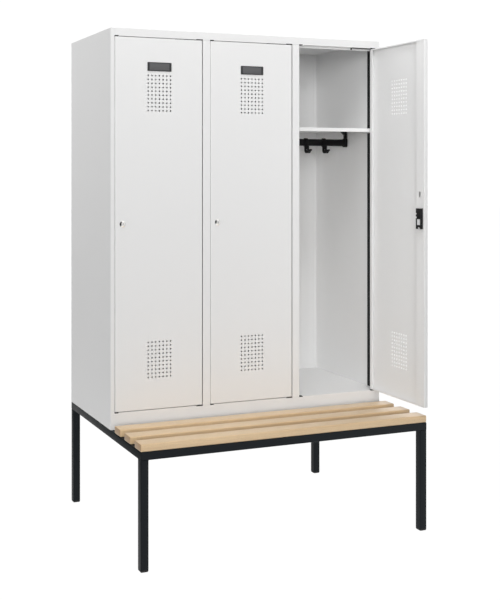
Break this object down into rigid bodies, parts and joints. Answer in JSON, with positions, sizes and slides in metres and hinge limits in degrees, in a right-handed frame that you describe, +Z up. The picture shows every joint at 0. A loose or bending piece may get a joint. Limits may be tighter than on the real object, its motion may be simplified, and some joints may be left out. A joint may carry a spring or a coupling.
{
  "type": "locker with bench",
  "caption": "Steel cloakroom locker with hinged ventilated doors on a tube underframe, with a slatted wooden bench in front, a hat shelf, a coat rail and sliding hooks in each compartment.",
  "frame": {"origin": "on the floor, at the middle of the whole object's width and depth, with the right door open", "axes": "+X to the right seen from the front, +Y towards the back of the locker, +Z up"},
  "size_m": [1.2, 0.8496, 1.95],
  "materials": {
    "light_grey_paint": "fine powder coat, satin, light grey",
    "anthracite_paint": "powder coat, satin, black grey",
    "glide_plastic": "moulded, matt black",
    "beech": "clear varnished light hardwood with rounded edges",
    "black_paint": "black, satin",
    "hook_plastic": "moulded, satin black",
    "nickel": "nickel plated",
    "zinc": "bright zinc plated",
    "lock_plastic": "moulded, satin black",
    "dark_grey_plastic": "moulded, fine texture, dark grey"
  },
  "bodies": {
    "cabinet": {"frame_leg_front_left": "anthracite_paint", "foot_glide_front_left": "glide_plastic", "frame_leg_rear_left": "anthracite_paint", "foot_glide_rear_left": "glide_plastic", "frame_leg_front_right": "anthracite_paint", "foot_glide_front_right": "glide_plastic", "frame_leg_rear_right": "anthracite_paint", "foot_glide_rear_right": "glide_plastic", "frame_rail_front": "anthracite_paint", "frame_rail_rear": "anthracite_paint", "frame_rail_left": "anthracite_paint", "frame_rail_right": "anthracite_paint", "frame_cross_bar": "anthracite_paint", "bench_slat_rear": "beech", "bench_slat_middle": "beech", "bench_slat_front": "beech", "side_panel_left": "light_grey_paint", "side_panel_right": "light_grey_paint", "divider_left": "light_grey_paint", "divider_right": "light_grey_paint", "back_panel": "light_grey_paint", "top_panel": "light_grey_paint", "bottom_panel": "light_grey_paint", "hat_shelf_left": "light_grey_paint", "coat_rail_left": "black_paint", "hat_shelf_middle": "light_grey_paint", "coat_rail_middle": "black_paint", "hat_shelf_right": "light_grey_paint", "coat_rail_right": "black_paint"},
    "coat_hook_left_1": {"coat_hook_left_1": "hook_plastic"},
    "coat_hook_left_2": {"coat_hook_left_2": "hook_plastic"},
    "coat_hook_left_3": {"coat_hook_left_3": "hook_plastic"},
    "door_left": {"door_skin_left": "light_grey_paint", "door_stiffener_left": "light_grey_paint", "lock_barrel_left": "nickel", "lock_case_left": "lock_plastic", "label_holder_left": "dark_grey_plastic"},
    "lock_plug_left": {"lock_plug_left": "nickel"},
    "lock_bolt_left": {"lock_bolt_left": "zinc"},
    "coat_hook_middle_1": {"coat_hook_middle_1": "hook_plastic"},
    "coat_hook_middle_2": {"coat_hook_middle_2": "hook_plastic"},
    "coat_hook_middle_3": {"coat_hook_middle_3": "hook_plastic"},
    "door_middle": {"door_skin_middle": "light_grey_paint", "door_stiffener_middle": "light_grey_paint", "lock_barrel_middle": "nickel", "lock_case_middle": "lock_plastic", "label_holder_middle": "dark_grey_plastic"},
    "lock_plug_middle": {"lock_plug_middle": "nickel"},
    "lock_bolt_middle": {"lock_bolt_middle": "zinc"},
    "coat_hook_right_1": {"coat_hook_right_1": "hook_plastic"},
    "coat_hook_right_2": {"coat_hook_right_2": "hook_plastic"},
    "coat_hook_right_3": {"coat_hook_right_3": "hook_plastic"},
    "door_right": {"door_skin_right": "light_grey_paint", "door_stiffener_right": "light_grey_paint", "lock_barrel_right": "nickel", "lock_case_right": "lock_plastic", "label_holder_right": "dark_grey_plastic"},
    "lock_plug_right": {"lock_plug_right": "nickel"},
    "lock_bolt_right": {"lock_bolt_right": "zinc"}
  },
  "joints": [
    {"name": "coat_hook_left_1_slide", "type": "slide", "parent": "cabinet", "child": "coat_hook_left_1", "axis": [1, 0, 0], "range_m": [-0.03, 0.03]},
    {"name": "coat_hook_left_2_slide", "type": "slide", "parent": "cabinet", "child": "coat_hook_left_2", "axis": [1, 0, 0], "range_m": [-0.03, 0.03]},
    {"name": "coat_hook_left_3_slide", "type": "slide", "parent": "cabinet", "child": "coat_hook_left_3", "axis": [1, 0, 0], "range_m": [-0.03, 0.03]},
    {"name": "door_left_hinge", "type": "hinge", "parent": "cabinet", "child": "door_left", "pos_m": [-0.2265, -0.06975, 1.203], "axis": [0, 0, 1], "range_deg": [0, 110]},
    {"name": "lock_plug_left_turn", "type": "hinge", "parent": "door_left", "child": "lock_plug_left", "pos_m": [-0.5515, -0.07525, 1.203], "axis": [0, -1, 0], "range_deg": [0, 90]},
    {"name": "lock_bolt_left_slide", "type": "slide", "parent": "door_left", "child": "lock_bolt_left", "axis": [-1, 0, 0], "range_m": [0, 0.017]},
    {"name": "coat_hook_middle_1_slide", "type": "slide", "parent": "cabinet", "child": "coat_hook_middle_1", "axis": [1, 0, 0], "range_m": [-0.03, 0.03]},
    {"name": "coat_hook_middle_2_slide", "type": "slide", "parent": "cabinet", "child": "coat_hook_middle_2", "axis": [1, 0, 0], "range_m": [-0.03, 0.03]},
    {"name": "coat_hook_middle_3_slide", "type": "slide", "parent": "cabinet", "child": "coat_hook_middle_3", "axis": [1, 0, 0], "range_m": [-0.03, 0.03]},
    {"name": "door_middle_hinge", "type": "hinge", "parent": "cabinet", "child": "door_middle", "pos_m": [0.1735, -0.06975, 1.203], "axis": [0, 0, 1], "range_deg": [0, 110]},
    {"name": "lock_plug_middle_turn", "type": "hinge", "parent": "door_middle", "child": "lock_plug_middle", "pos_m": [-0.1515, -0.07525, 1.203], "axis": [0, -1, 0], "range_deg": [0, 90]},
    {"name": "lock_bolt_middle_slide", "type": "slide", "parent": "door_middle", "child": "lock_bolt_middle", "axis": [-1, 0, 0], "range_m": [0, 0.017]},
    {"name": "coat_hook_right_1_slide", "type": "slide", "parent": "cabinet", "child": "coat_hook_right_1", "axis": [1, 0, 0], "range_m": [-0.03, 0.03]},
    {"name": "coat_hook_right_2_slide", "type": "slide", "parent": "cabinet", "child": "coat_hook_right_2", "axis": [1, 0, 0], "range_m": [-0.03, 0.03]},
    {"name": "coat_hook_right_3_slide", "type": "slide", "parent": "cabinet", "child": "coat_hook_right_3", "axis": [1, 0, 0], "range_m": [-0.03, 0.03]},
    {"name": "door_right_hinge", "type": "hinge", "parent": "cabinet", "child": "door_right", "pos_m": [0.5735, -0.06975, 1.203], "axis": [0, 0, 1], "range_deg": [-90, 20]},
    {"name": "lock_plug_right_turn", "type": "hinge", "parent": "door_right", "child": "lock_plug_right", "pos_m": [0.579, -0.39475, 1.203], "axis": [1, 0, 0], "range_deg": [0, 90]},
    {"name": "lock_bolt_right_slide", "type": "slide", "parent": "door_right", "child": "lock_bolt_right", "axis": [0, -1, 0], "range_m": [0, 0.017]}
  ],
  "couplings": [
    {"joint": "lock_bolt_left_slide", "follows": "lock_plug_left_turn", "m_per_rad": 0.0108},
    {"joint": "lock_bolt_middle_slide", "follows": "lock_plug_middle_turn", "m_per_rad": 0.0108},
    {"joint": "lock_bolt_right_slide", "follows": "lock_plug_right_turn", "m_per_rad": 0.0108}
  ]
}
